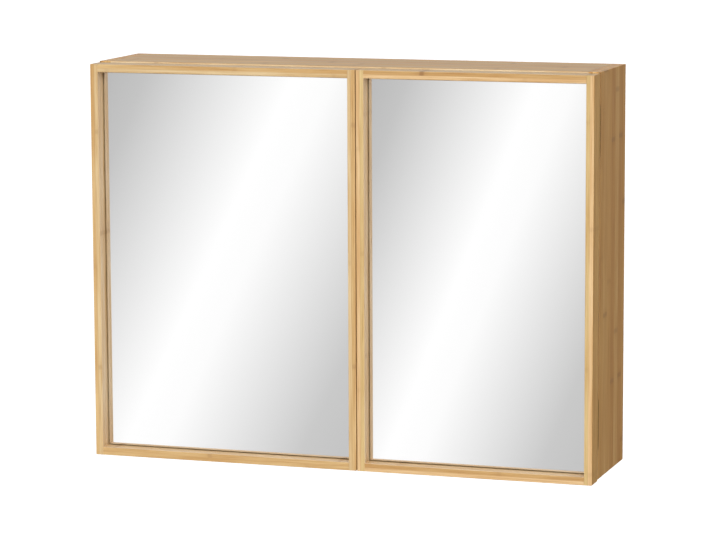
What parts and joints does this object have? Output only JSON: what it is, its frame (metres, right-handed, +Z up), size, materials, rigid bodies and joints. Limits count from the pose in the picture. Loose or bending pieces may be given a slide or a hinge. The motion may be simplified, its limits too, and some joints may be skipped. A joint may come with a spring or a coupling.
{
  "type": "mirror cabinet",
  "caption": "Wall-hung bamboo cabinet with unequal mirrored doors set deep in slim frames, adjustable shelves and a hanging rail with wall holes.",
  "frame": {"origin": "midway between the two wall holes of the hanging rail, on its back face", "axes": "+X to the right seen from the front, +Y towards the wall, +Z up"},
  "size_m": [0.65, 0.16, 0.5],
  "materials": {
    "bamboo_frame": "side-pressed bamboo bars under clear satin lacquer",
    "bamboo_board": "laminated bamboo boards under clear satin lacquer",
    "bamboo_backing": "laminated bamboo panel under clear satin lacquer",
    "bamboo_back": "thin bamboo plywood, clear lacquer",
    "beech_dowel": "fluted raw beech",
    "silvered_glass": "4 mm float glass mirror with a ground bevel",
    "mounting_tape": "double-sided foam mirror tape",
    "bumper_felt": "self-adhesive felt dot",
    "hinge_brass": "rolled brass, lightly brushed",
    "plated_steel": "nickel-plated steel",
    "cam_zinc": "raw zinc die casting",
    "magnet_steel": "ferrite magnet with a ground face",
    "catch_plastic": "moulded brown ABS"
  },
  "bodies": {
    "cabinet": {"back_panel": "bamboo_back", "body_dowels": "beech_dowel", "body_hinge_screws": "hinge_brass", "bottom_panel": "bamboo_board", "cam_bolts": "plated_steel", "cam_discs": "cam_zinc", "catch_screws": "plated_steel", "centre_divider": "bamboo_board", "hanging_rail": "bamboo_board", "left_catch_housing": "catch_plastic", "left_catch_magnet": "magnet_steel", "left_hinge_pins": "hinge_brass", "left_lower_hinge_body_leaf": "hinge_brass", "left_shelf_1": "bamboo_board", "left_shelf_2": "bamboo_board", "left_side_panel": "bamboo_board", "left_upper_hinge_body_leaf": "hinge_brass", "lower_back_rail": "bamboo_board", "rail_dowels": "beech_dowel", "rail_screws": "plated_steel", "right_catch_housing": "catch_plastic", "right_catch_magnet": "magnet_steel", "right_hinge_pins": "hinge_brass", "right_lower_hinge_body_leaf": "hinge_brass", "right_shelf_1": "bamboo_board", "right_shelf_2": "bamboo_board", "right_side_panel": "bamboo_board", "right_upper_hinge_body_leaf": "hinge_brass", "shelf_pins": "plated_steel", "top_panel": "bamboo_board"},
    "left_door": {"left_bumpers": "bumper_felt", "left_door_backing_panel": "bamboo_backing", "left_door_bottom_rail": "bamboo_frame", "left_door_frame_dowels": "beech_dowel", "left_door_hinge_screws": "hinge_brass", "left_door_hinge_stile": "bamboo_frame", "left_door_lock_stile": "bamboo_frame", "left_door_top_rail": "bamboo_frame", "left_lower_hinge_door_leaf": "hinge_brass", "left_mirror": "silvered_glass", "left_mirror_tape": "mounting_tape", "left_strike_plate": "plated_steel", "left_strike_screw": "plated_steel", "left_upper_hinge_door_leaf": "hinge_brass"},
    "right_door": {"right_bumpers": "bumper_felt", "right_door_backing_panel": "bamboo_backing", "right_door_bottom_rail": "bamboo_frame", "right_door_frame_dowels": "beech_dowel", "right_door_hinge_screws": "hinge_brass", "right_door_hinge_stile": "bamboo_frame", "right_door_lock_stile": "bamboo_frame", "right_door_top_rail": "bamboo_frame", "right_lower_hinge_door_leaf": "hinge_brass", "right_mirror": "silvered_glass", "right_mirror_tape": "mounting_tape", "right_strike_plate": "plated_steel", "right_strike_screw": "plated_steel", "right_upper_hinge_door_leaf": "hinge_brass"}
  },
  "joints": [
    {"name": "left_door_hinge", "type": "hinge", "parent": "cabinet", "child": "left_door", "pos_m": [-0.3234, -0.1295, 0], "axis": [0, 0, -1], "range_deg": [0, 110]},
    {"name": "right_door_hinge", "type": "hinge", "parent": "cabinet", "child": "right_door", "pos_m": [0.3234, -0.1295, 0], "axis": [0, 0, 1], "range_deg": [0, 110]}
  ]
}
